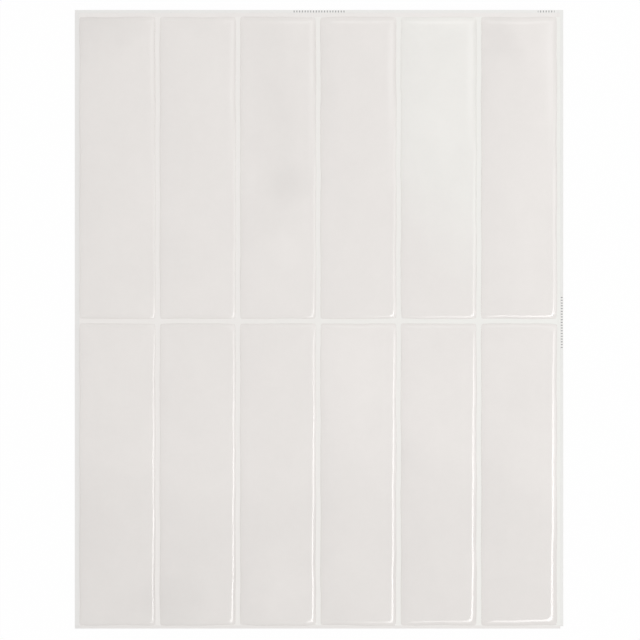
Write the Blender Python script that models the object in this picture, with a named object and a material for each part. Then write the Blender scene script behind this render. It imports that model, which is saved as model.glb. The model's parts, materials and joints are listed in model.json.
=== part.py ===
"""Peel and stick backsplash sheet: two rows of raised gel tiles on a printed film, with its release liner.

Metres, +Z up. The sheet lies on its liner, centred on the origin: +X runs across the tiles, +Y up the sheet as
it hangs on a wall, and +Z out of its face. The film has two thinner lap strips, along its top and right edges,
which the next sheets cover.
"""

import math

import bmesh
import bpy
from mathutils import Matrix, Vector

MM = 0.001

# Tiles and grout, seen from the front
TILE_COLUMNS = 6
TILE_ROWS = 2
TILE_WIDTH = 35.3 * MM
TILE_LENGTH = 141.45 * MM
TILE_CORNER_RADIUS = 0.8 * MM
GROUT_WIDTH = 2.4 * MM
PALE_TILE = (1, 5)  # row and column of the one tile that is paler than the rest

# Film that shows outside the tiles
LEFT_BORDER = 2.3 * MM
RIGHT_BORDER = 3.1 * MM
TOP_BORDER = 3.4 * MM
BOTTOM_BORDER = 1.6 * MM

# Lap strips along the top and right edges, and the gap below the end of the right one
LAP_WIDTH = 1.4 * MM
LAP_STEP = 0.15 * MM
LAP_END_GAP = 1.1 * MM

# Layers, from the floor up
LINER_THICKNESS = 0.12 * MM
ADHESIVE_THICKNESS = 0.05 * MM
FILM_THICKNESS = 0.4 * MM
BOND_LINE = 0.02 * MM

# Section of a tile: a low steep edge, a wide shoulder that flattens inwards, and a soft crown
TILE_EDGE_HEIGHT = 0.25 * MM
TILE_CORNER_HEIGHT = 0.08 * MM
SHOULDER_HEIGHT = 0.95 * MM
SHOULDER_REACH = 2.0 * MM
CROWN_HEIGHT = 0.14 * MM
CROWN_REACH = 9.0 * MM

# Unevenness of a hand-made look: sides that wander and a top that waves
SIDE_WANDER = 0.16 * MM
SIDE_WANDER_LENGTH = 46.0 * MM
SIDE_WANDER_REACH = 5.0 * MM
TOP_WAVE = 0.06 * MM
TOP_WAVE_LENGTH = 58.0 * MM
GOLDEN_ANGLE = math.radians(137.508)

# Mesh lines of a tile: shares of the corner radius, shares of the shoulder's width, then even facets
CORNER_LINES = (0.0, 0.25, 0.6, 1.0)
SHOULDER_LINES = (0.2, 0.5, 1.0)
SHOULDER_WIDTH = 4.2 * MM
FACET_WIDTH = 6.0 * MM
FACET_LENGTH = 12.0 * MM

CUTTER_MARGIN = 1.0 * MM
SHARP_ANGLE = math.radians(40)

SHEET_WIDTH = LEFT_BORDER + TILE_COLUMNS * TILE_WIDTH + (TILE_COLUMNS - 1) * GROUT_WIDTH + RIGHT_BORDER
SHEET_LENGTH = BOTTOM_BORDER + TILE_ROWS * TILE_LENGTH + (TILE_ROWS - 1) * GROUT_WIDTH + TOP_BORDER
SHEET_LEFT = -SHEET_WIDTH / 2
SHEET_RIGHT = SHEET_WIDTH / 2
SHEET_BOTTOM = -SHEET_LENGTH / 2
SHEET_TOP = SHEET_LENGTH / 2

LINER_TOP = LINER_THICKNESS
FILM_BOTTOM = LINER_TOP + ADHESIVE_THICKNESS
FILM_TOP = FILM_BOTTOM + FILM_THICKNESS
LAP_TOP = FILM_TOP - LAP_STEP
TILE_BOTTOM = FILM_TOP + BOND_LINE


def clear_scene():
    for obj in list(bpy.data.objects):
        bpy.data.objects.remove(obj, do_unlink=True)


def new_collection(name):
    collection = bpy.data.collections.new(name)
    bpy.context.scene.collection.children.link(collection)
    return collection


def plain_material(name, colour, roughness, metallic=0.0):
    material = bpy.data.materials.new(name)
    material.use_nodes = True
    shader = material.node_tree.nodes["Principled BSDF"]
    shader.inputs["Base Color"].default_value = (*colour, 1.0)
    shader.inputs["Roughness"].default_value = roughness
    shader.inputs["Metallic"].default_value = metallic
    return material


def box(name, low, high, collection):
    """A cube primitive between two corners, with its scale applied and its origin at its middle."""
    low = Vector(low)
    high = Vector(high)
    size = high - low
    bpy.ops.mesh.primitive_cube_add(size=1.0, location=(low + high) / 2)
    obj = bpy.context.object
    obj.name = name
    obj.data.name = name
    obj.data.transform(Matrix.Diagonal((*size, 1.0)))
    for owner in list(obj.users_collection):
        owner.objects.unlink(obj)
    collection.objects.link(obj)
    return obj


def cutter(name, low, high, collection):
    obj = box(name, low, high, collection)
    obj.hide_render = True
    obj.display_type = "WIRE"
    return obj


def cut(obj, tool):
    modifier = obj.modifiers.new(tool.name, "BOOLEAN")
    modifier.operation = "DIFFERENCE"
    modifier.solver = "EXACT"
    modifier.object = tool


def lap_end_cutter(collection):
    """The nick at the lower right corner, where the right lap strip ends, through the film and the liner."""
    low = (SHEET_RIGHT - LAP_WIDTH, SHEET_BOTTOM - CUTTER_MARGIN, -CUTTER_MARGIN)
    high = (SHEET_RIGHT + CUTTER_MARGIN, SHEET_BOTTOM + LAP_END_GAP, FILM_TOP + CUTTER_MARGIN)
    return cutter("lap_end_cutter", low, high, collection)


def top_lap_cutter(collection):
    low = (SHEET_LEFT - CUTTER_MARGIN, SHEET_TOP - LAP_WIDTH, LAP_TOP)
    high = (SHEET_RIGHT + CUTTER_MARGIN, SHEET_TOP + CUTTER_MARGIN, FILM_TOP + CUTTER_MARGIN)
    return cutter("top_lap_cutter", low, high, collection)


def right_lap_cutter(collection):
    low = (SHEET_RIGHT - LAP_WIDTH, SHEET_BOTTOM - CUTTER_MARGIN, LAP_TOP)
    high = (SHEET_RIGHT + CUTTER_MARGIN, SHEET_TOP + CUTTER_MARGIN, FILM_TOP + CUTTER_MARGIN)
    return cutter("right_lap_cutter", low, high, collection)


def release_liner(collection, lap_end):
    low = (SHEET_LEFT, SHEET_BOTTOM, 0.0)
    high = (SHEET_RIGHT, SHEET_TOP, LINER_TOP)
    liner = box("release_liner", low, high, collection)
    cut(liner, lap_end)
    liner.data.materials.append(plain_material("release_paper", (0.86, 0.85, 0.82), 0.8))


def backing_film(collection, top_lap, right_lap, lap_end):
    low = (SHEET_LEFT, SHEET_BOTTOM, FILM_BOTTOM)
    high = (SHEET_RIGHT, SHEET_TOP, FILM_TOP)
    film = box("backing_film", low, high, collection)
    cut(film, top_lap)
    cut(film, right_lap)
    cut(film, lap_end)
    film.data.materials.append(plain_material("printed_film", (0.84, 0.82, 0.79), 0.45))


def mesh_lines(length, facet):
    """Places of the mesh lines across one side of a tile, centred on zero and closer together at its edges."""
    insets = [share * TILE_CORNER_RADIUS for share in CORNER_LINES]
    insets += [TILE_CORNER_RADIUS + share * SHOULDER_WIDTH for share in SHOULDER_LINES]
    span = length / 2 - insets[-1]
    count = max(1, round(span / facet))
    insets += [insets[-1] + span * step / count for step in range(1, count + 1)]
    left = [inset - length / 2 for inset in insets]
    return left + [-place for place in reversed(left[:-1])]


def rounded_corner(x, y):
    """Moves a point of a corner's square patch onto the quarter disc of the corner radius in it."""
    centre_x = TILE_WIDTH / 2 - TILE_CORNER_RADIUS
    centre_y = TILE_LENGTH / 2 - TILE_CORNER_RADIUS
    out_x = (abs(x) - centre_x) / TILE_CORNER_RADIUS
    out_y = (abs(y) - centre_y) / TILE_CORNER_RADIUS
    if out_x <= 0 or out_y <= 0:
        return x, y
    disc_x = centre_x + TILE_CORNER_RADIUS * out_x * math.sqrt(1 - out_y ** 2 / 2)
    disc_y = centre_y + TILE_CORNER_RADIUS * out_y * math.sqrt(1 - out_x ** 2 / 2)
    return math.copysign(disc_x, x), math.copysign(disc_y, y)


def rise(inset_x, inset_y, reach):
    """How far a dome has risen: 0 at the tile's sides, 1 well inside, and under 0 at the tips of its corners."""
    return 1 - math.hypot(math.exp(-inset_x / reach), math.exp(-inset_y / reach))


def wander(along, phase):
    """Sideways wander of a tile's side, from -1 to 1: a long wave and a shorter, weaker one."""
    angle = math.tau * along / SIDE_WANDER_LENGTH + phase
    return (math.sin(angle) + 0.5 * math.sin(2.3 * angle + phase)) / 1.5


def wave(x, y, phase):
    """Height of the tile's uneven top, from -1 to 1: two waves that cross at a slant."""
    angle = math.tau / TOP_WAVE_LENGTH
    first = math.sin(angle * (y + 0.6 * x) + phase)
    second = math.sin(angle * (0.55 * y - 1.3 * x) + 2 * phase)
    return (first + second) / 2


def tile_point(x, y, number):
    """A point of the tile's top: rounded over at the sides, lowest at its corners, crowned and uneven."""
    x, y = rounded_corner(x, y)
    inset_x = TILE_WIDTH / 2 - abs(x)
    inset_y = TILE_LENGTH / 2 - abs(y)
    phase = number * GOLDEN_ANGLE
    shoulder = rise(inset_x, inset_y, SHOULDER_REACH)
    crown = rise(inset_x, inset_y, CROWN_REACH)
    height = TILE_EDGE_HEIGHT + SHOULDER_HEIGHT * shoulder + CROWN_HEIGHT * crown
    height += TOP_WAVE * shoulder * wave(x, y, phase)
    height = max(height, TILE_CORNER_HEIGHT)
    side_x = math.copysign(1, x)
    side_y = math.copysign(1, y)
    shift_x = SIDE_WANDER * wander(y, phase + side_x) * math.exp(-inset_x / SIDE_WANDER_REACH)
    shift_y = SIDE_WANDER * wander(x, 2 * phase + side_y) * math.exp(-inset_y / SIDE_WANDER_REACH)
    return Vector((x + shift_x, y + shift_y, height))


def tile_mesh(name, number):
    """A grid bent into the domed top, with its rim drawn down to a flat underside."""
    lines_x = mesh_lines(TILE_WIDTH, FACET_WIDTH)
    lines_y = mesh_lines(TILE_LENGTH, FACET_LENGTH)
    last_x = len(lines_x) - 1
    last_y = len(lines_y) - 1
    bm = bmesh.new()
    bmesh.ops.create_grid(bm, x_segments=last_x, y_segments=last_y, size=0.5)
    for vert in bm.verts:
        x = lines_x[round((vert.co.x + 0.5) * last_x)]
        y = lines_y[round((vert.co.y + 0.5) * last_y)]
        vert.co = tile_point(x, y, number)
    rim = [edge for edge in bm.edges if edge.is_boundary]
    drawn = bmesh.ops.extrude_edge_only(bm, edges=rim)["geom"]
    for vert in drawn:
        if isinstance(vert, bmesh.types.BMVert):
            vert.co.z = 0.0
    foot = [edge for edge in drawn if isinstance(edge, bmesh.types.BMEdge) and edge.is_boundary]
    bmesh.ops.contextual_create(bm, geom=foot)
    bmesh.ops.recalc_face_normals(bm, faces=bm.faces)
    mesh = bpy.data.meshes.new(name)
    bm.to_mesh(mesh)
    bm.free()
    mesh.shade_smooth()
    mesh.set_sharp_from_angle(angle=SHARP_ANGLE)
    return mesh


def gel_tiles(collection):
    """The tiles, row by row from the top left, each uneven in its own way."""
    gel = plain_material("glazed_gel", (0.79, 0.76, 0.73), 0.12)
    pale_gel = plain_material("pale_glazed_gel", (0.83, 0.81, 0.78), 0.12)
    first_x = SHEET_LEFT + LEFT_BORDER + TILE_WIDTH / 2
    first_y = SHEET_TOP - TOP_BORDER - TILE_LENGTH / 2
    for row in range(TILE_ROWS):
        for column in range(TILE_COLUMNS):
            number = row * TILE_COLUMNS + column + 1
            name = f"tile_row_{row + 1}_column_{column + 1}"
            tile = bpy.data.objects.new(name, tile_mesh(name, number))
            x = first_x + column * (TILE_WIDTH + GROUT_WIDTH)
            y = first_y - row * (TILE_LENGTH + GROUT_WIDTH)
            tile.location = (x, y, TILE_BOTTOM)
            is_pale = (row + 1, column + 1) == PALE_TILE
            tile.data.materials.append(pale_gel if is_pale else gel)
            collection.objects.link(tile)


def main():
    clear_scene()
    sheet = new_collection("backsplash_sheet")
    cutters = new_collection("cutters")
    lap_end = lap_end_cutter(cutters)
    release_liner(sheet, lap_end)
    backing_film(sheet, top_lap_cutter(cutters), right_lap_cutter(cutters), lap_end)
    gel_tiles(sheet)


main()
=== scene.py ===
"""Looks of a peel and stick backsplash sheet: gel tiles with a soft dome, satin film and paper liner.

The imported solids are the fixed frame. The tiles are made again as fine surfaces on the same formula as the
solids, and the film and the liner get softened edges. Everything is in metres, +Z up, with the sheet lying on
its liner, and the camera looks straight down on it.
"""

import json
import math

import bmesh
import bpy
import numpy as np
from bpy.props import FloatProperty, FloatVectorProperty, IntProperty, PointerProperty
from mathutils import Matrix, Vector


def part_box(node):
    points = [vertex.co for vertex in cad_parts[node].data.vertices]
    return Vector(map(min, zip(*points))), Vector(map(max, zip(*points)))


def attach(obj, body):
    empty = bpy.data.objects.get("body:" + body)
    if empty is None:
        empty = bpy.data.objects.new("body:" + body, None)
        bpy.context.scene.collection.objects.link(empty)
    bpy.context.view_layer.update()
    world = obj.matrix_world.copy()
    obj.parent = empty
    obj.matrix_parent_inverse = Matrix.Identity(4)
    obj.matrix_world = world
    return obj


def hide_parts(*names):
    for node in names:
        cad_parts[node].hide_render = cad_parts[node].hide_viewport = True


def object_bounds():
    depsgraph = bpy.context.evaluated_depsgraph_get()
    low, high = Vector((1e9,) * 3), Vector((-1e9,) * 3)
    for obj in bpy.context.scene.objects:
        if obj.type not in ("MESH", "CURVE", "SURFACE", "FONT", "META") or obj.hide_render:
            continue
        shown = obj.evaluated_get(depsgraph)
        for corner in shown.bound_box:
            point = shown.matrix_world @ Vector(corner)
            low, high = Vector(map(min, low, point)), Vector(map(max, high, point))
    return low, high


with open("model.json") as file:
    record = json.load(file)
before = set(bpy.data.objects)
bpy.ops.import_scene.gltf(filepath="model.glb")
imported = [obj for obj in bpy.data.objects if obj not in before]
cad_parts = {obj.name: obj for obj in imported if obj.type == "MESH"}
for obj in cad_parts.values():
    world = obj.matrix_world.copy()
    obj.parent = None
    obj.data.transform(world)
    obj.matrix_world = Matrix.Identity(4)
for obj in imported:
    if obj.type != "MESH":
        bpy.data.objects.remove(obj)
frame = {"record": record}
CAD_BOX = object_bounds()

bl_info = {
    "name": "Backsplash Sheet",
    "version": (1, 0, 0),
    "blender": (4, 5, 0),
    "location": "3D View > Sidebar > Backsplash",
    "description": "Adds the gel tiles, printed film, release liner and studio of a peel and stick sheet",
    "category": "Add Mesh",
}

MM = 0.001
GOLDEN_ANGLE = math.radians(137.508)

WHITE = (1.0, 1.0, 1.0, 1.0)
BLACK = (0.0, 0.0, 0.0, 1.0)

IMAGE_SIZE = 640
SENSOR_WIDTH = 36.0 * MM
FLOOR_HALF_WIDTH = 8.0
FLOOR_GAP = 0.1 * MM

BUMP_DEPTH = 0.1 * MM
MERGE_DISTANCE = 0.001 * MM
FLAT_ANGLE = math.radians(1)
SHARP_ANGLE = math.radians(35)

# Soft marks in the glaze print, and one painted shade at the upper left corner: middle and half sizes in
# millimetres, turn in degrees, and change of tone
GLAZE_MARKS = {
    # Painted shade: the sheet's upper left corner, where less light falls
    "painted shade at the upper left corner": ((-110.0, 145.0), (42.0, 32.0), 20.0, -0.065),
    "dark upper part of the third tile": ((-19.0, 95.0), (20.0, 80.0), 0.0, -0.03),
    "dark blotch in the third tile": ((-15.0, 65.5), (16.0, 16.0), 0.0, -0.036),
    "pale patch left of the blotch": ((-28.0, 70.0), (12.0, 18.0), 0.0, 0.018),
    "pale patch below the blotch": ((-17.0, 32.0), (16.0, 14.0), 20.0, 0.02),
    "dark left side of the fourth tile": ((2.0, 110.0), (10.0, 60.0), 0.0, -0.02),
    "pale head of the fifth tile": ((58.0, 143.0), (32.0, 12.0), 0.0, 0.032),
    "pale streak in the fifth tile": ((62.0, 97.0), (17.0, 40.0), -10.0, 0.022),
    "smudge in the sixth tile": ((85.0, 128.0), (22.0, 10.0), -38.0, -0.04),
    "dark left side of the sixth tile": ((79.0, 122.0), (9.0, 42.0), 0.0, -0.018),
    "pale middle of the sixth tile": ((96.0, 50.0), (16.0, 60.0), 0.0, 0.015),
    "pale head of the lower fourth tile": ((19.0, -28.0), (24.0, 50.0), 0.0, 0.028),
    "pale middle of the lower fourth tile": ((20.0, -92.0), (26.0, 55.0), 0.0, 0.02),
    "pale middle of the lower fifth tile": ((54.0, -60.0), (26.0, 80.0), 0.0, 0.014),
    "pale foot of the lower third tile": ((-18.0, -125.0), (24.0, 36.0), 0.0, 0.018),
    "dark foot of the lower second tile": ((-70.0, -135.0), (26.0, 24.0), 30.0, -0.04),
}

# Soft boxes in metres: middle, point aimed at, size, and fades at the left, right, near and far sides
SOFT_BOXES = {
    "ceiling_panel": ((-0.3, 0.0, 1.6), (-0.3, 0.0, 0.0), (4.1, 4.6), (0.6, 0.6, 0.6, 0.6)),
    "side_panel": ((0.68, 0.5, 1.61), (0.68, 0.5, 0.0), (0.8, 0.7), (0.25, 0.25, 0.12, 0.1)),
    "top_panel": ((0.25, 0.79, 1.5), (0.25, 0.79, 0.0), (0.75, 0.36), (0.15, 0.3, 0.12, 0.12)),
    "key_window": ((0.9, 0.0, 1.0), (0.0, 0.0, 0.0), (0.5, 0.5), (0.1, 0.1, 0.1, 0.1)),
}


def length(name, description, millimetres):
    """A length property, given in millimetres and kept in metres."""
    options = {"default": millimetres * MM, "unit": "LENGTH", "precision": 5}
    return FloatProperty(name=name, description=description, **options)


def share(name, description, default):
    """A property from 0 to 1."""
    options = {"default": default, "min": 0.0, "max": 1.0, "subtype": "FACTOR"}
    return FloatProperty(name=name, description=description, **options)


def angle(name, description, degrees):
    """An angle property, given in degrees and kept in radians."""
    options = {"default": math.radians(degrees), "subtype": "ANGLE"}
    return FloatProperty(name=name, description=description, **options)


def amount(name, description, default):
    """A property for a plain number from 0 up."""
    return FloatProperty(name=name, description=description, default=default, min=0.0)


def colour(name, description, default):
    """A colour property."""
    options = {"default": default, "min": 0.0, "max": 1.0, "subtype": "COLOR"}
    return FloatVectorProperty(name=name, description=description, **options)


class GelTileProperties(bpy.types.PropertyGroup):
    """Size, section, unevenness and glaze of the raised tiles."""

    columns: IntProperty(name="Columns", description="Tiles across the sheet", default=6)
    rows: IntProperty(name="Rows", description="Tiles up the sheet", default=2)
    width: length("Width", "Width of a tile", 35.3)
    length: length("Length", "Length of a tile", 141.45)
    grout: length("Grout", "Width of the film showing between tiles", 2.4)
    left_border: length("Left border", "Film showing left of the tiles", 2.3)
    top_border: length("Top border", "Film showing above the tiles", 3.4)
    corner_radius: length("Corner radius", "Radius of a tile's outline at its corners", 0.8)
    edge_height: length("Edge height", "Height of the steep edge of the gel", 0.25)
    corner_height: length("Corner height", "Least height of the gel, at the tips of its corners", 0.08)
    shoulder_height: length("Shoulder height", "Rise of the wide shoulder", 0.95)
    shoulder_reach: length("Shoulder reach", "Distance in which most of the shoulder's rise is done", 2.0)
    crown_height: length("Crown height", "Rise of the soft crown inside the shoulder", 0.14)
    crown_reach: length("Crown reach", "Distance in which most of the crown's rise is done", 9.0)
    side_wander: length("Side wander", "How far a side strays from straight", 0.16)
    side_wander_length: length("Side wander length", "Length of one wave of a side", 46.0)
    side_wander_reach: length("Side wander reach", "How far inwards the wander of a side is felt", 5.0)
    top_wave: length("Top wave", "Height of the waves on the top", 0.06)
    top_wave_length: length("Top wave length", "Length of one wave on the top", 58.0)
    edge_step: length("Edge step", "Mesh step at a tile's sides", 0.12)
    step_width: length("Step across", "Mesh step across the inside of a tile", 0.8)
    step_length: length("Step along", "Mesh step along the inside of a tile", 1.1)
    glaze: colour("Glaze", "Colour of the glaze print under the gel", (0.811, 0.778, 0.753))
    pale_glaze: colour("Pale glaze", "Colour of the upper part of the one paler tile", (0.828, 0.813, 0.782))
    pale_start: share("Pale start", "Where the paler glaze begins, as a share of the tile's length", 0.12)
    pale_full: share("Pale full", "Where the paler glaze is full, as a share of the tile's length", 0.48)
    pale_tilt: share("Pale tilt", "How far both fall from left to right, as such a share", 0.2)
    cloudiness: share("Cloudiness", "Strength of the clouds and the mottle in the glaze", 0.12)
    cloud_size: length("Cloud size", "Size of the broad clouds", 30.0)
    cloud_weight: share("Cloud weight", "Part that the clouds have in the pattern", 0.6)
    blotch_size: length("Blotch size", "Size of the small blotches", 9.0)
    blotch_weight: share("Blotch weight", "Part that the blotches have in the pattern", 0.35)
    mottle_size: length("Mottle size", "Size of the fine mottle", 3.0)
    mottle_weight: share("Mottle weight", "Part that the mottle has in the pattern", 0.35)
    streak_size: length("Streak size", "Width of the long streaks", 8.0)
    streak_weight: share("Streak weight", "Part that the streaks have in the pattern", 0.2)
    # Painted light: these two make the glaze paler towards the right, where the light falls stronger
    painted_tile_light_shift: share("Side shift", "How much paler each tile's right side is than its left", 0.022)
    painted_light_shift: share("Sheet shift", "How much paler the sheet's right side is than its left", 0.05)
    foot_shade: share("Foot shade", "How much darker the lower parts of the lower row are", 0.04)
    foot_line: length("Foot line", "Height above the sheet's middle where that shade is half there", -77.0)
    foot_fade: length("Foot fade", "Length over which that shade sets in", 34.0)
    foot_wave: length("Foot wave", "Height of the wave that this line makes across the sheet", 10.0)
    foot_wave_length: length("Foot wave length", "Length of that wave", 188.0)
    foot_tilt: length("Foot tilt", "Fall of that line across each tile in the right half of the sheet", 18.0)
    foot_stray: length("Foot stray", "How far that line strays up and down", 50.0)
    foot_stray_size: length("Foot stray size", "Size of the bends in that line", 30.0)
    mark_stray: length("Mark stray", "How far the outlines of the soft marks stray", 22.0)
    mark_stray_size: length("Mark stray size", "Size of the bends in those outlines", 20.0)
    roughness: share("Roughness", "Least roughness of the clear gel's surface", 0.04)
    roughness_range: share("Roughness range", "How much rougher the blotches make it", 0.02)


class FilmProperties(bpy.types.PropertyGroup):
    """The printed film: its grout colour, lap strips and alignment ticks."""

    lap_width: length("Lap width", "Width of the strips that the next sheets cover", 1.4)
    edge_softness: length("Edge softness", "Rounding of the cut edges", 0.04)
    left_grout: colour("Left grout", "Colour printed between the tiles at the left", (0.851, 0.821, 0.798))
    right_grout: colour("Right grout", "Colour printed between the tiles at the right", (0.846, 0.844, 0.812))
    lap_colour: colour("Lap colour", "Colour of the lap strips", (0.815, 0.81, 0.79))
    # Painted light: the film grows paler towards the right, where the light falls stronger
    painted_light_shift: share("Sheet shift", "How much paler the sheet's right side is than its left", 0.045)
    side_colour: colour("Side colour", "Colour printed left of the tiles", (0.80, 0.79, 0.775))
    end_colour: colour("End colour", "Colour printed above and below the tiles", (0.832, 0.804, 0.783))
    foot_shade: share("Foot shade", "How much darker the print below the tiles is", 0.04)
    # Painted light: takes back part of that paler shift on the film right of the tiles
    painted_light_cut: share("Side shade", "How much darker the print right of the tiles is", 0.014)
    tick_colour: colour("Tick colour", "Ink of the alignment ticks", (0.30, 0.30, 0.30))
    tick_pitch: length("Tick pitch", "Distance between two alignment ticks", 1.3)
    tick_width: share("Tick width", "Width of a tick, as a share of the pitch", 0.34)
    tick_length: share("Tick length", "Length of a tick, as a share of the lap strip's width", 0.62)
    long_row: IntProperty(name="Long row", description="Ticks in the rows of the two edges", default=19)
    short_row: IntProperty(name="Short row", description="Ticks near the upper right corner", default=6)
    short_row_inset: length("Short row inset", "From the right edge to the middle of the short row", 8.0)
    side_row_height: length("Side row height", "Height of the right row above the sheet's middle", -1.5)
    grain_size: length("Grain size", "Size of the printed grain", 1.2)
    patch_size: length("Patch size", "Size of the soft patches", 20.0)
    unevenness: share("Unevenness", "Strength of the grain and the patches", 0.05)
    roughness: share("Roughness", "Least roughness of the satin surface", 0.36)
    roughness_range: share("Roughness range", "How much rougher the grain makes it", 0.12)


class LinerProperties(bpy.types.PropertyGroup):
    """The release liner under the film."""

    edge_softness: length("Edge softness", "Rounding of the cut edges", 0.02)
    paper_colour: colour("Paper colour", "Colour of the release paper", (0.86, 0.85, 0.82))
    dark_tone: amount("Dark tone", "Brightness of the darkest fibres, with the paper's colour at 1", 0.95)
    pale_tone: amount("Pale tone", "Brightness of the palest fibres, with the paper's colour at 1", 1.04)
    contrast: amount("Contrast", "How sharply the tones part", 2.0)
    fibre_size: length("Fibre size", "Width of the paper's fibres", 1.5)
    fibre_weight: share("Fibre weight", "Part that the fibres have in the pattern", 0.6)
    patch_size: length("Patch size", "Size of the soft patches", 30.0)
    patch_weight: share("Patch weight", "Part that the patches have in the pattern", 0.4)
    roughness: share("Roughness", "Least roughness of the paper", 0.5)
    roughness_range: share("Roughness range", "How much rougher the fibres make it", 0.15)


class StageProperties(bpy.types.PropertyGroup):
    """Camera, floor and lights."""

    lens: length("Lens", "Focal length", 140.0)
    pixels_per_mm: amount("Scale", "Pixels of the picture per millimetre of the sheet", 2.1335)
    camera_right: length("Camera right", "How far the camera stands right of the sheet's middle", 0.445)
    camera_up: length("Camera up", "How far the camera stands above the sheet's middle", -0.35)
    fill: amount("Fill", "Brightness of the light from all round", 0.59)
    ceiling_panel: amount("Ceiling panel", "Brightness of the wide panel overhead", 0.5)
    side_panel: amount("Side panel", "Brightness of the panel at the upper right", 1.06)
    top_panel: amount("Top panel", "Brightness of the panel beyond the top edge", 1.25)
    key_window: amount("Key window", "Brightness of the window at the right", 1.5)
    strip: amount("Strip", "Brightness of the strip that draws the highlights", 6.2)
    strip_height: length("Strip height", "Height of the strip above the floor", 1500.0)
    strip_width: length("Strip width", "Width of the strip", 242.0)
    strip_distance: length("Strip distance", "From the middle to the strip, at the lower right", 817.0)
    strip_start: length("Strip start", "Its start, along it from the point nearest the middle", -940.0)
    strip_end: length("Strip end", "Its end, along it from the point nearest the middle", 796.0)
    strip_start_fade: length("Strip start fade", "Length over which the strip fades in", 500.0)
    strip_end_fade: length("Strip end fade", "Length over which the strip fades out", 370.0)
    strip_side_fade: length("Strip side fade", "Width over which its two long sides fade", 20.0)
    strip_turn: angle("Strip turn", "Direction that the strip runs in", 49.5)
    floor_glow: share("Floor glow", "Share of plain white in the floor that the camera sees", 0.95)


class Wire:
    """A socket in a node tree. Python's operators on it add Math nodes."""

    def __init__(self, tree, socket=None):
        self.tree = tree
        self.socket = socket

    def node(self, kind, settings=None, inputs=None, output=0):
        """Adds any node: its type, its settings, then the values or wires of its inputs. Gives one output."""
        added = self.tree.nodes.new(kind)
        for name, value in (settings or {}).items():
            setattr(added, name, value)
        for name, value in (inputs or {}).items():
            if isinstance(value, Wire):
                self.tree.links.new(value.socket, added.inputs[name])
            else:
                added.inputs[name].default_value = value
        return Wire(self.tree, added.outputs[output] if added.outputs else None)

    def other(self, output):
        """Another output of the node that this wire comes from."""
        return Wire(self.tree, self.socket.node.outputs[output])

    def math(self, operation, *values):
        return self.node("ShaderNodeMath", {"operation": operation}, dict(enumerate(values)))

    def mix(self, first, second):
        """A colour that goes from the first to the second as this wire goes from 0 to 1."""
        return self.node("ShaderNodeMix", {"data_type": "RGBA"}, {0: self, 6: first, 7: second}, 2)

    def __add__(self, value):
        return self.math("ADD", self, value)

    def __radd__(self, value):
        return self.math("ADD", value, self)

    def __sub__(self, value):
        return self.math("SUBTRACT", self, value)

    def __rsub__(self, value):
        return self.math("SUBTRACT", value, self)

    def __mul__(self, value):
        return self.math("MULTIPLY", self, value)

    def __rmul__(self, value):
        return self.math("MULTIPLY", value, self)

    def __truediv__(self, value):
        return self.math("DIVIDE", self, value)

    def __gt__(self, value):
        return self.math("GREATER_THAN", self, value)

    def __lt__(self, value):
        return self.math("LESS_THAN", self, value)

    def clamp(self):
        return self.node("ShaderNodeClamp", None, {0: self})

    def smooth(self):
        """Eases a share from 0 to 1 in and out."""
        return self.node("ShaderNodeMapRange", {"interpolation_type": "SMOOTHSTEP"}, {"Value": self})


def new_material(name):
    """A material with an empty node tree, and a wire to build it with."""
    material = bpy.data.materials.new(name)
    material.use_nodes = True
    material.node_tree.nodes.clear()
    return material, Wire(material.node_tree)


def noise(wire, place, size, detail=2.0, roughness=0.5, stretch=(1.0, 1.0, 1.0)):
    """Noise from 0 to 1 whose features are about size metres across, stretched along each axis."""
    scaled = wire.node("ShaderNodeMapping", None, {"Vector": place, "Scale": [1.0 / s for s in stretch]})
    inputs = {"Vector": scaled, "Scale": 1.0 / size, "Detail": detail, "Roughness": roughness}
    return wire.node("ShaderNodeTexNoise", None, inputs)


def object_place(wire):
    """The place on a piece in metres, which is also its place in the scene."""
    return wire.node("ShaderNodeTexCoord", None, None, "Object")


def rgba(colour_value, tone=1.0):
    """A colour property's value as a socket takes it, made lighter or darker by a tone."""
    return (*[min(1.0, part * tone) for part in colour_value], 1.0)


def soft_mark(wire, place, centre, half_size, turn):
    """1 at the centre of an ellipse, falling to 0 at its edge. Sizes in millimetres, turn in degrees."""
    location = (centre[0] * MM, centre[1] * MM, 0.0)
    rotation = (0.0, 0.0, math.radians(turn))
    scale = (half_size[0] * MM, half_size[1] * MM, 1.0)
    inputs = {"Vector": place, "Location": location, "Rotation": rotation, "Scale": scale}
    scaled = wire.node("ShaderNodeMapping", {"vector_type": "TEXTURE"}, inputs)
    reach = wire.node("ShaderNodeVectorMath", {"operation": "LENGTH"}, {0: scaled}, "Value")
    return (1 - reach).clamp().smooth()


def strayed(wire, place, size, reach):
    """A place moved about by noise, so that what is drawn there gets an uneven outline."""
    shift = noise(wire, place, size).other("Color")
    centred = wire.node("ShaderNodeVectorMath", {"operation": "SUBTRACT"}, {0: shift, 1: (0.5, 0.5, 0.5)})
    inputs = {0: centred, 1: (reach, reach, 0.0), 2: place}
    return wire.node("ShaderNodeVectorMath", {"operation": "MULTIPLY_ADD"}, inputs)


def darker_foot(wire, place, x, y, across, tiles):
    """1 in the darker lower parts of the lower row and 0 above them, with an uneven line between."""
    stray = (noise(wire, place, tiles.foot_stray_size) - 0.5) * tiles.foot_stray
    wave = x.math("SINE", x * (math.tau / tiles.foot_wave_length)) * tiles.foot_wave
    tilt = (0.5 - across) * (x > 0.0) * tiles.foot_tilt
    return ((tiles.foot_line - y + stray + wave + tilt) / tiles.foot_fade + 0.5).clamp().smooth()


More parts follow.
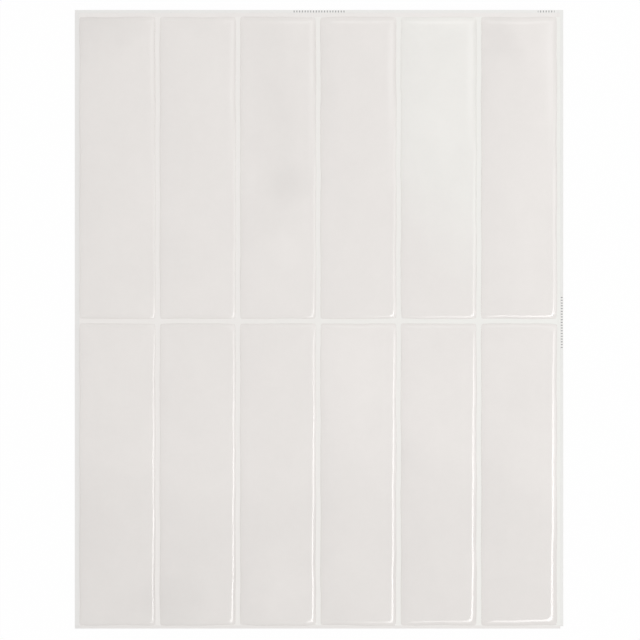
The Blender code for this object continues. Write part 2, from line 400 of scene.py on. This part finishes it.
def glazed_gel(name, foot_glaze, head_glaze, tiles):
    """Clear glossy gel over a glaze print: clouds, blotches, fine mottle, streaks, soft marks, shades, painted
    light and a painted shade.
    """
    material, wire = new_material(name)
    place = object_place(wire)
    x = wire.node("ShaderNodeSeparateXYZ", None, {"Vector": place})
    y = x.other("Y")
    tile_place = wire.node("ShaderNodeUVMap", {"uv_map": "tile"})
    across = wire.node("ShaderNodeSeparateXYZ", None, {"Vector": tile_place})
    up = across.other("Y")
    clouds = noise(wire, place, tiles.cloud_size)
    blotches = noise(wire, place, tiles.blotch_size, detail=3.0, roughness=0.6)
    mottle = noise(wire, place, tiles.mottle_size, detail=3.0, roughness=0.7)
    streaks = noise(wire, place, tiles.streak_size, stretch=(1.0, 5.0, 1.0))
    pattern = clouds * tiles.cloud_weight + blotches * tiles.blotch_weight
    pattern = pattern + mottle * tiles.mottle_weight + streaks * tiles.streak_weight
    weights = tiles.cloud_weight + tiles.blotch_weight + tiles.mottle_weight + tiles.streak_weight
    sheet_width = CAD_BOX[1][0] - CAD_BOX[0][0]
    tone = (pattern / weights - 0.5) * tiles.cloudiness
    # Painted light: paler towards each tile's right side and towards the sheet's right side
    tone = tone + (across - 0.5) * tiles.painted_tile_light_shift + x / sheet_width * tiles.painted_light_shift
    tone = tone - darker_foot(wire, place, x, y, across, tiles) * tiles.foot_shade
    uneven_place = strayed(wire, place, tiles.mark_stray_size, tiles.mark_stray)
    for centre, half_size, turn, change in GLAZE_MARKS.values():
        tone = tone + soft_mark(wire, uneven_place, centre, half_size, turn) * change
    level = up + (across - 0.5) * tiles.pale_tilt
    paleness = ((level - tiles.pale_start) / (tiles.pale_full - tiles.pale_start)).clamp()
    glaze = paleness.mix(rgba(foot_glaze), rgba(head_glaze))
    tint = wire.node("ShaderNodeVectorMath", {"operation": "SCALE"}, {0: glaze, "Scale": tone + 1.0})
    roughness = blotches * tiles.roughness_range + tiles.roughness
    inputs = {"Base Color": tint, "Roughness": roughness, "IOR": 1.5}
    shader = wire.node("ShaderNodeBsdfPrincipled", None, inputs)
    wire.node("ShaderNodeOutputMaterial", None, {"Surface": shader})
    return material


def tick_row(film, along, across, middle_along, middle_across, count):
    """1 on the ink of a row of ticks, which stand across a line at every pitch."""
    offset = (along - middle_along) / film.tick_pitch
    on_tick = offset.math("PINGPONG", offset, 0.5) < film.tick_width / 2
    in_row = offset.math("ABSOLUTE", offset) < count / 2
    tick_reach = film.lap_width * film.tick_length / 2
    in_reach = across.math("ABSOLUTE", across - middle_across) < tick_reach
    return on_tick * in_row * in_reach


def tile_block():
    """Lower left and upper right corners of the rectangle that all the tiles lie in."""
    boxes = [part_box(part["node"]) for part in frame["record"]["subparts"] if part["node"].startswith("tile_")]
    return np.min(boxes, (0, 1))[:2].tolist(), np.max(boxes, (0, 1))[:2].tolist()


def printed_film(film):
    """Satin film with a fine printed grain, darker borders, painted light that is paler to the right, lap
    strips, and ticks to line sheets up by.
    """
    material, wire = new_material("printed_film")
    place = object_place(wire)
    x = wire.node("ShaderNodeSeparateXYZ", None, {"Vector": place})
    y = x.other("Y")
    low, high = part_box("backing_film")
    grain = noise(wire, place, film.grain_size, detail=3.0, roughness=0.6)
    patches = noise(wire, place, film.patch_size)
    (tiles_left, tiles_bottom), (tiles_right, tiles_top) = tile_block()
    tone = 1.0 + (grain * 0.5 + patches * 0.5 - 0.5) * film.unevenness
    # Painted light: the film is paler towards the right, and a little less so right of the tiles
    tone = tone + x / (high[0] - low[0]) * film.painted_light_shift
    tone = tone - (y < tiles_bottom) * film.foot_shade - (x > tiles_right) * film.painted_light_cut
    on_lap = ((x > high[0] - film.lap_width) + (y > high[1] - film.lap_width)).clamp()
    on_end = ((y > tiles_top) + (y < tiles_bottom)).clamp()
    base = ((x - low[0]) / (high[0] - low[0])).mix(rgba(film.left_grout), rgba(film.right_grout))
    base = on_end.mix(base, rgba(film.end_colour))
    base = (x < tiles_left).mix(base, rgba(film.side_colour))
    base = on_lap.mix(base, rgba(film.lap_colour))
    base = wire.node("ShaderNodeVectorMath", {"operation": "SCALE"}, {0: base, "Scale": tone})
    strip_x = high[0] - film.lap_width / 2
    strip_y = high[1] - film.lap_width / 2
    rows = (
        (x, y, 0.0, strip_y, film.long_row),
        (x, y, high[0] - film.short_row_inset, strip_y, film.short_row),
        (y, x, film.side_row_height, strip_x, film.long_row),
    )
    ink = sum(tick_row(film, *row) for row in rows)
    printed = ink.clamp().mix(base, rgba(film.tick_colour))
    bump = wire.node("ShaderNodeBump", None, {"Strength": 0.15, "Distance": BUMP_DEPTH, "Height": grain})
    roughness = grain * film.roughness_range + film.roughness
    inputs = {"Base Color": printed, "Roughness": roughness, "Normal": bump, "IOR": 1.5}
    shader = wire.node("ShaderNodeBsdfPrincipled", None, inputs)
    wire.node("ShaderNodeOutputMaterial", None, {"Surface": shader})
    return material


def release_paper(liner):
    """Smooth coated paper: short fibres in slightly different tones, and a faint tooth."""
    material, wire = new_material("release_paper")
    place = object_place(wire)
    fibres = noise(wire, place, liner.fibre_size, detail=4.0, roughness=0.65, stretch=(1.0, 3.0, 1.0))
    patches = noise(wire, place, liner.patch_size)
    pattern = fibres * liner.fibre_weight + patches * liner.patch_weight - 0.5
    tone = (pattern * liner.contrast + 0.5).clamp()
    dark = rgba(liner.paper_colour, liner.dark_tone)
    pale = rgba(liner.paper_colour, liner.pale_tone)
    bump = wire.node("ShaderNodeBump", None, {"Strength": 0.2, "Distance": BUMP_DEPTH, "Height": fibres})
    roughness = fibres * liner.roughness_range + liner.roughness
    inputs = {"Base Color": tone.mix(dark, pale), "Roughness": roughness, "Normal": bump, "IOR": 1.45}
    shader = wire.node("ShaderNodeBsdfPrincipled", None, inputs)
    wire.node("ShaderNodeOutputMaterial", None, {"Surface": shader})
    return material


def side_lines(side_length, first_step, largest_step, growth=1.2):
    """Mesh lines from side to side: the step grows from the sides inwards until it reaches the largest."""
    half = side_length / 2
    steps = np.minimum(first_step * growth ** np.arange(int(half / first_step)), largest_step)
    insets = np.concatenate(([0.0], np.cumsum(steps)))
    insets = insets[: np.searchsorted(insets, half) + 1]
    insets *= half / insets[-1]
    return np.concatenate((insets - half, (half - insets)[-2::-1]))


def round_corners(x, y, half_width, half_length, radius):
    """Squeezes each corner's square patch into the quarter disc of the corner radius.

    A point's share of the way out along one axis is multiplied by the root of one less half the square of its
    share along the other axis.
    """
    out_x = np.maximum(0.0, (np.abs(x) - half_width + radius) / radius)
    out_y = np.maximum(0.0, (np.abs(y) - half_length + radius) / radius)
    shift_x = radius * out_x * (np.sqrt(1 - out_y * out_y / 2) - 1)
    shift_y = radius * out_y * (np.sqrt(1 - out_x * out_x / 2) - 1)
    return x + np.sign(x) * shift_x, y + np.sign(y) * shift_y


def rise(inset_x, inset_y, reach):
    """0 at the sides and 1 well inside.

    It is one less the hypotenuse of two exponentials, which fall from 1 with the distance from each side.
    """
    return 1 - np.hypot(np.exp(-inset_x / reach), np.exp(-inset_y / reach))


def wander(along, wave_length, phase):
    """Stray of a side, from -1 to 1: a sine wave plus half of one 2.3 times as fast, divided by 1.5."""
    turn = math.tau * along / wave_length + phase
    return (np.sin(turn) + 0.5 * np.sin(2.3 * turn + phase)) / 1.5


def top_waves(x, y, wave_length, phase):
    """Uneven top, from -1 to 1: the mean of two sine waves that cross at a slant."""
    turn = math.tau / wave_length
    first = np.sin(turn * (y + 0.6 * x) + phase)
    second = np.sin(turn * (0.55 * y - 1.3 * x) + 2 * phase)
    return (first + second) / 2


def tile_surface(tiles, number):
    """Grid of a tile's top about its own middle.

    The height is the steep edge's, plus the rise of the shoulder and the crown, plus the waves, which fade
    out on the shoulder. The wander moves points sideways, less and less with their distance from the side.
    """
    half_width = tiles.width / 2
    half_length = tiles.length / 2
    lines_x = side_lines(tiles.width, tiles.edge_step, tiles.step_width)
    lines_y = side_lines(tiles.length, tiles.edge_step, tiles.step_length)
    x, y = np.meshgrid(lines_x, lines_y)
    x, y = round_corners(x, y, half_width, half_length, tiles.corner_radius)
    inset_x = half_width - np.abs(x)
    inset_y = half_length - np.abs(y)
    phase = number * GOLDEN_ANGLE
    shoulder = rise(inset_x, inset_y, tiles.shoulder_reach)
    height = tiles.edge_height + tiles.shoulder_height * shoulder
    height += tiles.crown_height * rise(inset_x, inset_y, tiles.crown_reach)
    height += tiles.top_wave * shoulder * top_waves(x, y, tiles.top_wave_length, phase)
    height = np.maximum(height, tiles.corner_height)
    side_x = np.where(x < 0, -1.0, 1.0)
    side_y = np.where(y < 0, -1.0, 1.0)
    stray_x = wander(y, tiles.side_wander_length, phase + side_x)
    stray_x *= tiles.side_wander * np.exp(-inset_x / tiles.side_wander_reach)
    stray_y = wander(x, tiles.side_wander_length, 2 * phase + side_y)
    stray_y *= tiles.side_wander * np.exp(-inset_y / tiles.side_wander_reach)
    return x + stray_x, y + stray_y, height


def closed_pad(name, x, y, height, centre, bottom):
    """A mesh of the grid's top, a wall down from its rim, and one flat face underneath."""
    rows, columns = x.shape
    number = np.arange(rows * columns).reshape(rows, columns)
    quads = np.stack((number[:-1, :-1], number[:-1, 1:], number[1:, 1:], number[1:, :-1]), -1).reshape(-1, 4)
    rim = np.concatenate((number[0, :-1], number[:-1, -1], number[-1, :0:-1], number[:0:-1, 0]))
    foot = rows * columns + np.arange(len(rim))
    walls = np.stack((np.roll(rim, -1), rim, foot, np.roll(foot, -1)), -1)
    top = np.stack((x.ravel(), y.ravel(), height.ravel()), -1)
    base = top[rim] * (1.0, 1.0, 0.0)
    points = np.concatenate((top, base)) + (*centre, bottom)
    mesh = bpy.data.meshes.new(name)
    mesh.from_pydata(points, [], [*quads.tolist(), *walls.tolist(), foot[::-1].tolist()])
    mesh.shade_smooth()
    mesh.set_sharp_from_angle(angle=SHARP_ANGLE)
    corner_points = np.empty(len(mesh.loops), np.int32)
    mesh.loops.foreach_get("vertex_index", corner_points)
    low, high = points.min(0)[:2], points.max(0)[:2]
    shares = (points[corner_points, :2] - low) / (high - low)
    mesh.uv_layers.new(name="tile").uv.foreach_set("vector", shares.astype(np.float32).ravel())
    return mesh


def material_slot(node):
    """The material slot that the record gives a solid."""
    return next(part["material_slot"] for part in frame["record"]["subparts"] if part["node"] == node)


def add_piece(name, mesh, material, node):
    """Puts a finished mesh into the scene in the place of a solid."""
    piece = bpy.data.objects.new(name, mesh)
    bpy.context.scene.collection.objects.link(piece)
    mesh.materials.clear()
    mesh.materials.append(material)
    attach(piece, "root")
    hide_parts(node)
    return piece


def softened_copy(name, node, material, softness):
    """A solid's own mesh, merged, with its cut edges rounded a little."""
    merged = bmesh.new()
    merged.from_mesh(bpy.data.objects[node].data)
    bmesh.ops.remove_doubles(merged, verts=merged.verts, dist=MERGE_DISTANCE)
    bmesh.ops.dissolve_limit(merged, angle_limit=FLAT_ANGLE, verts=merged.verts, edges=merged.edges)
    mesh = bpy.data.meshes.new(name)
    merged.to_mesh(mesh)
    merged.free()
    piece = add_piece(name, mesh, material, node)
    bevel = piece.modifiers.new("cut_edges", "BEVEL")
    bevel.width = softness
    bevel.segments = 2
    bevel.limit_method = "ANGLE"
    bevel.harden_normals = True
    return piece


class AddGelTiles(bpy.types.Operator):
    """Add the raised gel tiles, each uneven in its own way"""

    bl_idname = "backsplash.add_gel_tiles"
    bl_label = "Add Gel Tiles"

    def execute(self, context):
        tiles = context.scene.backsplash_tiles
        materials = {
            "glazed_gel": glazed_gel("glazed_gel", tiles.glaze, tiles.glaze, tiles),
            "pale_glazed_gel": glazed_gel("pale_glazed_gel", tiles.glaze, tiles.pale_glaze, tiles),
        }
        low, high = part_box("backing_film")
        first_x = low[0] + tiles.left_border + tiles.width / 2
        first_y = high[1] - tiles.top_border - tiles.length / 2
        pitch_x = tiles.width + tiles.grout
        pitch_y = tiles.length + tiles.grout
        for row in range(tiles.rows):
            for column in range(tiles.columns):
                node = f"tile_row_{row + 1}_column_{column + 1}"
                x, y, height = tile_surface(tiles, row * tiles.columns + column + 1)
                centre = (first_x + column * pitch_x, first_y - row * pitch_y)
                mesh = closed_pad(f"gel_{node}", x, y, height, centre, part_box(node)[0][2])
                add_piece(f"gel_{node}", mesh, materials[material_slot(node)], node)
        return {"FINISHED"}


class AddPrintedFilm(bpy.types.Operator):
    """Add the printed film that shows as grout lines and border"""

    bl_idname = "backsplash.add_printed_film"
    bl_label = "Add Printed Film"

    def execute(self, context):
        film = context.scene.backsplash_film
        softened_copy("film_sheet", "backing_film", printed_film(film), film.edge_softness)
        return {"FINISHED"}


class AddReleaseLiner(bpy.types.Operator):
    """Add the paper liner that covers the adhesive back"""

    bl_idname = "backsplash.add_release_liner"
    bl_label = "Add Release Liner"

    def execute(self, context):
        liner = context.scene.backsplash_liner
        softened_copy("liner_sheet", "release_liner", release_paper(liner), liner.edge_softness)
        return {"FINISHED"}


def seen_directly(wire):
    """1 for what the camera, a reflection or a see-through ray meets, and 0 for light that scatters."""
    path = wire.node("ShaderNodeLightPath", None, None, "Is Camera Ray")
    return (path + path.other("Is Glossy Ray") + path.other("Is Transmission Ray")).clamp()


def studio_world(stage):
    """Soft light from all round, and plain white where the surroundings are seen."""
    world = bpy.data.worlds.new("studio_world")
    world.use_nodes = True
    world.node_tree.nodes.clear()
    wire = Wire(world.node_tree)
    fill = wire.node("ShaderNodeBackground", None, {"Color": WHITE, "Strength": stage.fill})
    white = wire.node("ShaderNodeBackground", None, {"Color": WHITE, "Strength": 1.0})
    both = wire.node("ShaderNodeMixShader", None, {0: seen_directly(wire), 1: fill, 2: white})
    wire.node("ShaderNodeOutputWorld", None, {"Surface": both})
    bpy.context.scene.world = world


def white_floor(stage):
    """A wide floor just under the sheet, which keeps the sheet's shadow and is white to the camera."""
    material, wire = new_material("white_floor")
    paint = wire.node("ShaderNodeBsdfDiffuse", None, {"Color": (0.95, 0.95, 0.95, 1.0)})
    glow = wire.node("ShaderNodeEmission", None, {"Color": WHITE, "Strength": 1.0})
    glow_share = seen_directly(wire) * stage.floor_glow
    both = wire.node("ShaderNodeMixShader", None, {0: glow_share, 1: paint, 2: glow})
    wire.node("ShaderNodeOutputMaterial", None, {"Surface": both})
    signs = ((-1, -1), (1, -1), (1, 1), (-1, 1))
    corners = [(x * FLOOR_HALF_WIDTH, y * FLOOR_HALF_WIDTH, -FLOOR_GAP) for x, y in signs]
    mesh = bpy.data.meshes.new("studio_floor")
    mesh.from_pydata(corners, [], [(0, 1, 2, 3)])
    mesh.materials.append(material)
    floor = bpy.data.objects.new("studio_floor", mesh)
    bpy.context.scene.collection.objects.link(floor)


def soft_box(name, centre, aim, size, fades, brightness, turn=0.0):
    """A rectangular light that looks at a point, turned about its own axis.

    Its face has the given brightness in the middle, with white at 1, and fades out over given widths at the
    left, right, near and far sides.
    """
    width, depth = size
    left, right, near, far = fades
    data = bpy.data.lights.new(name, "AREA")
    data.shape = "RECTANGLE"
    data.size = width
    data.size_y = depth
    data.energy = math.pi * width * depth * brightness
    data.use_nodes = True
    data.node_tree.nodes.clear()
    wire = Wire(data.node_tree)
    face_place = wire.node("ShaderNodeNewGeometry", None, None, "Parametric")
    across = wire.node("ShaderNodeSeparateXYZ", None, {"Vector": face_place})
    along = across.other("Y")
    glow = (across * (width / left)).clamp() * ((1 - across) * (width / right)).clamp()
    glow = glow * (along * (depth / near)).clamp() * ((1 - along) * (depth / far)).clamp()
    lit = glow.mix(BLACK, WHITE)
    face = wire.node("ShaderNodeEmission", None, {"Color": lit, "Strength": 1.0})
    wire.node("ShaderNodeOutputLight", None, {"Surface": face})
    light = bpy.data.objects.new(name, data)
    bpy.context.scene.collection.objects.link(light)
    light.location = centre
    light.rotation_euler = (Vector(aim) - Vector(centre)).to_track_quat("-Z", "Y").to_euler()
    light.rotation_euler.rotate_axis("Z", turn)
    light.visible_camera = False
    return light


def highlight_strip(stage):
    """The long strip that draws the thin highlights. It runs past the sheet's middle at the lower right."""
    direction = Vector((math.cos(stage.strip_turn), math.sin(stage.strip_turn)))
    nearest = Vector((direction.y, -direction.x)) * stage.strip_distance
    middle = nearest + direction * (stage.strip_start + stage.strip_end) / 2
    place = (*middle, stage.strip_height)
    size = (stage.strip_end - stage.strip_start, stage.strip_width)
    fades = (stage.strip_start_fade, stage.strip_end_fade, stage.strip_side_fade, stage.strip_side_fade)
    return soft_box("strip", place, (*middle, 0.0), size, fades, stage.strip, stage.strip_turn)


def overhead_camera(stage):
    """A camera straight above the sheet, far enough for the picture's scale."""
    data = bpy.data.cameras.new("overhead_camera")
    data.sensor_width = SENSOR_WIDTH / MM
    data.lens = stage.lens / MM
    camera = bpy.data.objects.new("overhead_camera", data)
    bpy.context.scene.collection.objects.link(camera)
    picture_width = IMAGE_SIZE / stage.pixels_per_mm * MM
    height = picture_width * stage.lens / SENSOR_WIDTH
    sheet_top = CAD_BOX[1][2]
    camera.location = (stage.camera_right, stage.camera_up, sheet_top + height)
    bpy.context.scene.camera = camera


class AddStudio(bpy.types.Operator):
    """Add the camera, white floor and soft lights"""

    bl_idname = "backsplash.add_studio"
    bl_label = "Add Studio"

    def execute(self, context):
        stage = context.scene.backsplash_stage
        overhead_camera(stage)
        studio_world(stage)
        white_floor(stage)
        lights = {name: soft_box(name, *box, getattr(stage, name)) for name, box in SOFT_BOXES.items()}
        lights["strip"] = highlight_strip(stage)
        # These two show in the gloss alone and add no light to the colours
        for name in ("top_panel", "strip"):
            lights[name].visible_diffuse = False
        context.scene.view_settings.view_transform = "Standard"
        return {"FINISHED"}


class BacksplashPanel(bpy.types.Panel):
    """Sidebar panel that lists the sheet's pieces and their values."""

    bl_idname = "VIEW3D_PT_backsplash"
    bl_label = "Backsplash Sheet"
    bl_space_type = "VIEW_3D"
    bl_region_type = "UI"
    bl_category = "Backsplash"

    def draw(self, context):
        for operator, group in STEPS:
            box = self.layout.box()
            box.operator(operator.bl_idname)
            values = getattr(context.scene, group)
            for name in values.bl_rna.properties.keys():
                if name not in ("rna_type", "name"):
                    box.prop(values, name)


STEPS = (
    (AddGelTiles, "backsplash_tiles"),
    (AddPrintedFilm, "backsplash_film"),
    (AddReleaseLiner, "backsplash_liner"),
    (AddStudio, "backsplash_stage"),
)

GROUPS = {
    "backsplash_tiles": GelTileProperties,
    "backsplash_film": FilmProperties,
    "backsplash_liner": LinerProperties,
    "backsplash_stage": StageProperties,
}


def register():
    for name, group in GROUPS.items():
        bpy.utils.register_class(group)
        setattr(bpy.types.Scene, name, PointerProperty(type=group))
    for operator, _ in STEPS:
        bpy.utils.register_class(operator)
    bpy.utils.register_class(BacksplashPanel)


def unregister():
    bpy.utils.unregister_class(BacksplashPanel)
    for operator, _ in reversed(STEPS):
        bpy.utils.unregister_class(operator)
    for name, group in GROUPS.items():
        delattr(bpy.types.Scene, name)
        bpy.utils.unregister_class(group)


def main():
    register()
    bpy.ops.backsplash.add_gel_tiles()
    bpy.ops.backsplash.add_printed_film()
    bpy.ops.backsplash.add_release_liner()
    bpy.ops.backsplash.add_studio()


if __name__ == "__main__":
    main()
